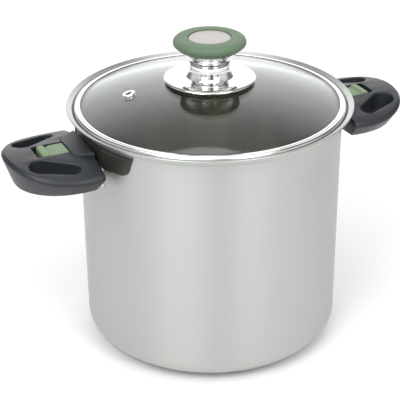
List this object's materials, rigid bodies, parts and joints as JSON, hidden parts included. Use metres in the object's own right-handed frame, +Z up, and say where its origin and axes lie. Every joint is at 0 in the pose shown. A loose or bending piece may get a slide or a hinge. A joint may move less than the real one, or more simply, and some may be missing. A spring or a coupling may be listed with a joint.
{
  "type": "stockpot",
  "caption": "Tall steel stockpot with a flared pouring rim, a domed glass lid with steam vent and mushroom knob, and latched side handles that fold down.",
  "frame": {"origin": "centre of the face the pot stands on", "axes": "+Z up along the pot's axis, X through the two handles, Y across them; the steam vent lies towards -X"},
  "size_m": [0.3264, 0.2174, 0.242],
  "materials": {
    "brushed_body": "brushed",
    "satin_steel": "satin",
    "bright_steel": "polished",
    "polished_steel": "polished",
    "badge_steel": "brushed",
    "spring_steel": "satin",
    "aluminium_core": "matte",
    "brass": "satin",
    "lid_glass": "clear",
    "silicone": "matte",
    "dark_plastic": "matte",
    "handle_plastic": "satin",
    "button_green": "satin",
    "knob_green": "matte"
  },
  "bodies": {
    "pot": {"pot_shell": "brushed_body", "base_core": "aluminium_core", "base_cap": "satin_steel", "right_bracket": "satin_steel", "right_bracket_cover": "dark_plastic", "right_hinge_pins": "satin_steel", "left_bracket": "satin_steel", "left_bracket_cover": "dark_plastic", "left_hinge_pins": "satin_steel"},
    "lid": {"lid_glass": "lid_glass", "lid_ring": "bright_steel", "vent_eyelet": "bright_steel", "vent_washer": "satin_steel", "knob_gasket": "silicone", "knob_flange": "polished_steel", "knob_neck": "polished_steel", "knob_core": "dark_plastic", "knob_insert": "brass", "knob_ferrule": "polished_steel", "knob_cap": "knob_green", "knob_badge": "badge_steel", "knob_screw": "satin_steel", "knob_washer": "satin_steel", "knob_seal": "silicone"},
    "right_handle": {"right_handle_shell": "handle_plastic", "right_handle_underside": "handle_plastic", "right_latch_cover": "handle_plastic", "right_handle_screws": "satin_steel", "right_button_spring": "spring_steel"},
    "right_latch": {"right_button": "button_green", "right_latch_bolt": "satin_steel"},
    "left_handle": {"left_handle_shell": "handle_plastic", "left_handle_underside": "handle_plastic", "left_latch_cover": "handle_plastic", "left_handle_screws": "satin_steel", "left_button_spring": "spring_steel"},
    "left_latch": {"left_button": "button_green", "left_latch_bolt": "satin_steel"}
  },
  "joints": [
    {"name": "lid_lift", "type": "slide", "parent": "pot", "child": "lid", "axis": [0, 0, 1], "range_m": [0, 0.12]},
    {"name": "right_handle_fold", "type": "hinge", "parent": "pot", "child": "right_handle", "pos_m": [0.108, 0, 0.16], "axis": [0, 1, 0], "range_deg": [0, 90]},
    {"name": "right_button_slide", "type": "slide", "parent": "right_handle", "child": "right_latch", "axis": [1, 0, 0], "range_m": [0, 0.0036], "stiffness_N_per_m": 600, "springref_m": -0.002, "deforming": ["right_button_spring"]},
    {"name": "left_handle_fold", "type": "hinge", "parent": "pot", "child": "left_handle", "pos_m": [-0.108, 0, 0.16], "axis": [0, -1, 0], "range_deg": [0, 90]},
    {"name": "left_button_slide", "type": "slide", "parent": "left_handle", "child": "left_latch", "axis": [-1, 0, 0], "range_m": [0, 0.0036], "stiffness_N_per_m": 600, "springref_m": -0.002, "deforming": ["left_button_spring"]}
  ]
}
